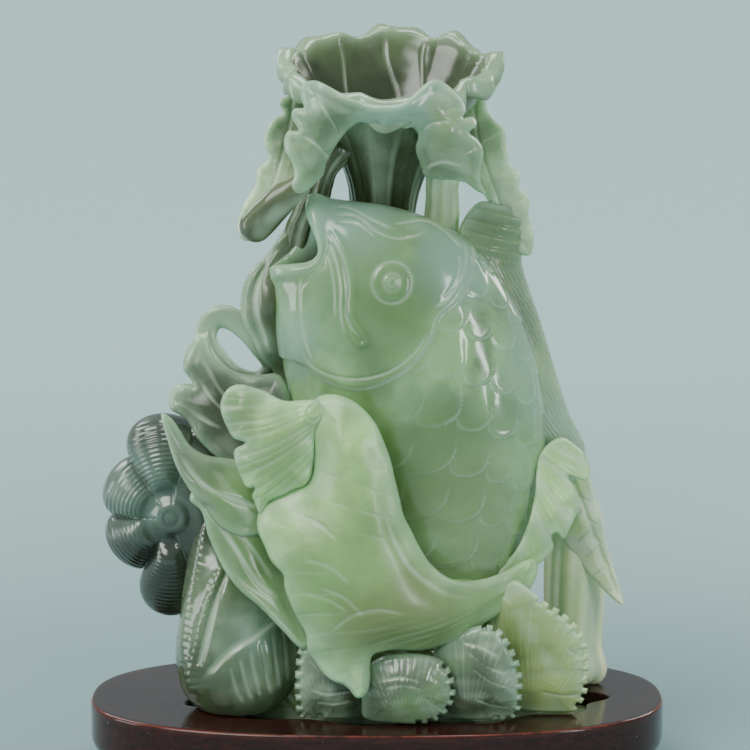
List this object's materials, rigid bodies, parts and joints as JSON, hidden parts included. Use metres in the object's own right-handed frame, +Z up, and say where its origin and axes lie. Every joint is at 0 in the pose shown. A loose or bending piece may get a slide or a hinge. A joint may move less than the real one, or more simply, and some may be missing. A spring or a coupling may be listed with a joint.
{
  "type": "jade figurine",
  "caption": "Pierced and carved jade carp leaping through lotus leaves and shells, seated in a fitted pocket of an oval lacquered wood stand.",
  "frame": {"origin": "centre of the stand's footprint, on the surface it rests on", "axes": "+X to the viewer's right along the stand's length, +Y from the front to the back, +Z up"},
  "size_m": [0.2651, 0.138, 0.343],
  "materials": {
    "jade_pale": "polished translucent pale green jade with soft cloudy mottling",
    "jade_smoky": "polished translucent dark grey-green jade",
    "jade_olive": "polished olive-grey jade, darker in its hollows and milky at thin edges",
    "jade_apple": "polished yellow-green jade, thin and translucent at its edges",
    "lacquered_wood": "hardwood under clear dark red-brown gloss lacquer, rubbed red along the top edge",
    "dowel_wood": "plain unfinished hardwood dowel",
    "green_felt": "dense matted wool felt"
  },
  "bodies": {
    "stand": {"felt_pad_back_left": "green_felt", "felt_pad_back_middle": "green_felt", "felt_pad_back_right": "green_felt", "felt_pad_front_left": "green_felt", "felt_pad_front_middle": "green_felt", "felt_pad_front_right": "green_felt", "foot_back_left": "lacquered_wood", "foot_back_middle": "lacquered_wood", "foot_back_right": "lacquered_wood", "foot_dowels": "dowel_wood", "foot_front_left": "lacquered_wood", "foot_front_middle": "lacquered_wood", "foot_front_right": "lacquered_wood", "stand_slab": "lacquered_wood"},
    "carving": {"back_leaf": "jade_pale", "carp_anal_fin": "jade_apple", "carp_body": "jade_pale", "carp_dorsal_fin": "jade_pale", "carp_lips": "jade_pale", "carp_pectoral_fin": "jade_apple", "carp_tail_fin": "jade_apple", "carp_tail_root": "jade_apple", "conch_shell": "jade_smoky", "curled_leaf": "jade_pale", "leaf_cup": "jade_olive", "leaf_flap_back_left": "jade_olive", "leaf_flap_back_right": "jade_olive", "leaf_flap_front_left": "jade_olive", "leaf_flap_front_right": "jade_olive", "leaf_loop": "jade_smoky", "lobed_leaf": "jade_smoky", "lobed_shell": "jade_smoky", "lotus_column": "jade_olive", "mouth_leaf": "jade_smoky", "mouth_stem": "jade_olive", "pale_stem": "jade_olive", "reed_bundle": "jade_olive", "rock_mound": "jade_olive", "rolled_leaf_edge": "jade_olive", "seated_foot": "jade_olive", "toothed_fan_front": "jade_apple", "toothed_fan_left": "jade_olive", "toothed_fan_middle": "jade_apple", "toothed_fan_right": "jade_apple"}
  },
  "joints": [
    {"name": "stone_lift", "type": "slide", "parent": "stand", "child": "carving", "axis": [0, 0, 1], "range_m": [0, 0.06]}
  ]
}
